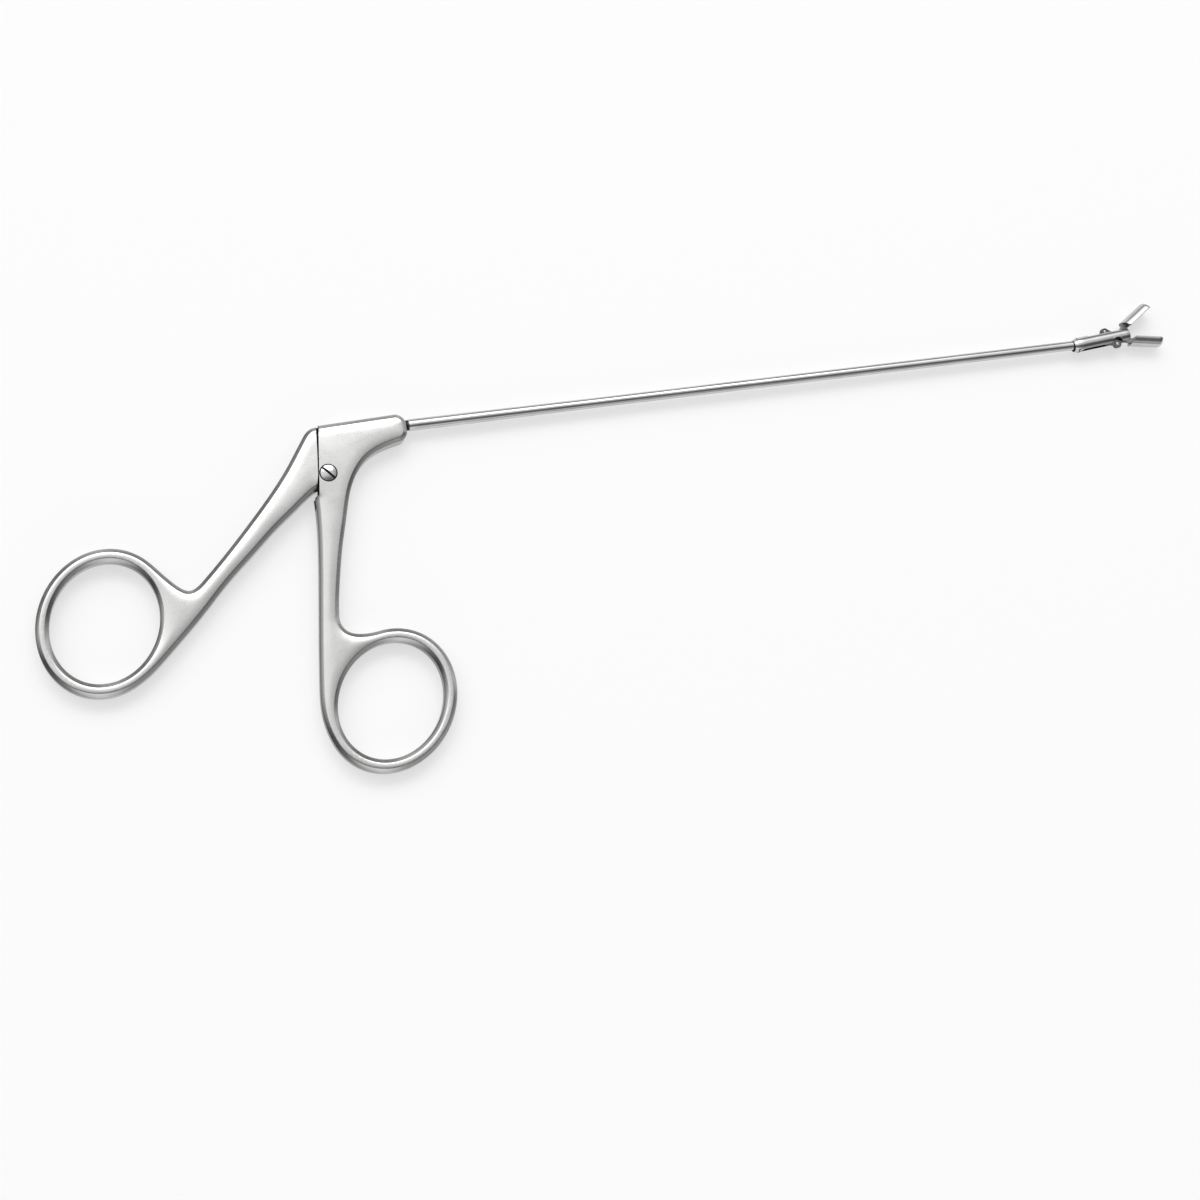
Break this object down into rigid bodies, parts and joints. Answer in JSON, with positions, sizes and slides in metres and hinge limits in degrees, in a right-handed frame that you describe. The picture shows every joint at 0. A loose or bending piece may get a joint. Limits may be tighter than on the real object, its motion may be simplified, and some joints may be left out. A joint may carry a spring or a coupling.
{
  "type": "biopsy forceps",
  "caption": "Ring-handled biopsy forceps: slim straight shaft, double-action cup jaws on an upward-set tip, rear handle pulls a rod that shuts the jaws.",
  "frame": {"origin": "on the shaft's axis, where the shaft leaves the head block of the handle", "axes": "+X along the shaft towards the jaws, +Z along the pivot screw towards its slotted head, finger rings on the -Y side"},
  "size_m": [0.2653, 0.0813, 0.0053],
  "materials": {
    "satin_steel": "satin, fine brushed grain",
    "bright_steel": "bright, polished along the shaft"
  },
  "bodies": {
    "frame": {"front_handle": "satin_steel", "pivot_screw": "bright_steel", "shaft_tube": "bright_steel", "jaw_housing": "bright_steel", "jaw_pivot_pin": "bright_steel"},
    "rear_grip": {"rear_handle": "satin_steel"},
    "rod": {"drive_rod": "bright_steel", "rod_ball": "bright_steel", "rod_tongue": "bright_steel", "rod_tongue_pin": "bright_steel"},
    "upper_jaw": {"upper_jaw": "satin_steel"},
    "lower_jaw": {"lower_jaw": "satin_steel"},
    "upper_link": {"upper_link": "bright_steel", "upper_link_pin": "bright_steel"},
    "lower_link": {"lower_link": "bright_steel", "lower_link_pin": "bright_steel"}
  },
  "joints": [
    {"name": "squeeze", "type": "hinge", "parent": "frame", "child": "rear_grip", "pos_m": [-0.01905, -0.00875, 0], "axis": [0, 0, 1], "range_deg": [0, 5.3]},
    {"name": "rod_slide", "type": "slide", "parent": "frame", "child": "rod", "axis": [1, 0, 0], "range_m": [-0.000815, 0]},
    {"name": "upper_jaw_turn", "type": "hinge", "parent": "frame", "child": "upper_jaw", "pos_m": [0.17136, 0.00075, 0], "axis": [0, 0, 1], "range_deg": [-23.94, 0]},
    {"name": "lower_jaw_turn", "type": "hinge", "parent": "frame", "child": "lower_jaw", "pos_m": [0.17136, 0.00075, 0], "axis": [0, 0, 1], "range_deg": [0, 16.97]},
    {"name": "upper_link_turn", "type": "hinge", "parent": "rod", "child": "upper_link", "pos_m": [0.16548, 0.00029, 0], "axis": [0, 0, 1], "range_deg": [-14.68, 0]},
    {"name": "lower_link_turn", "type": "hinge", "parent": "rod", "child": "lower_link", "pos_m": [0.16548, 0.00029, 0], "axis": [0, 0, 1], "range_deg": [0, 7.05]}
  ],
  "couplings": [
    {"joint": "rod_slide", "follows": "squeeze", "m_per_rad": -0.0087565},
    {"joint": "upper_jaw_turn", "follows": "squeeze", "ratio": -4.5079},
    {"joint": "lower_jaw_turn", "follows": "squeeze", "ratio": 3.1931},
    {"joint": "upper_link_turn", "follows": "squeeze", "ratio": -2.7607},
    {"joint": "lower_link_turn", "follows": "squeeze", "ratio": 1.3201}
  ]
}
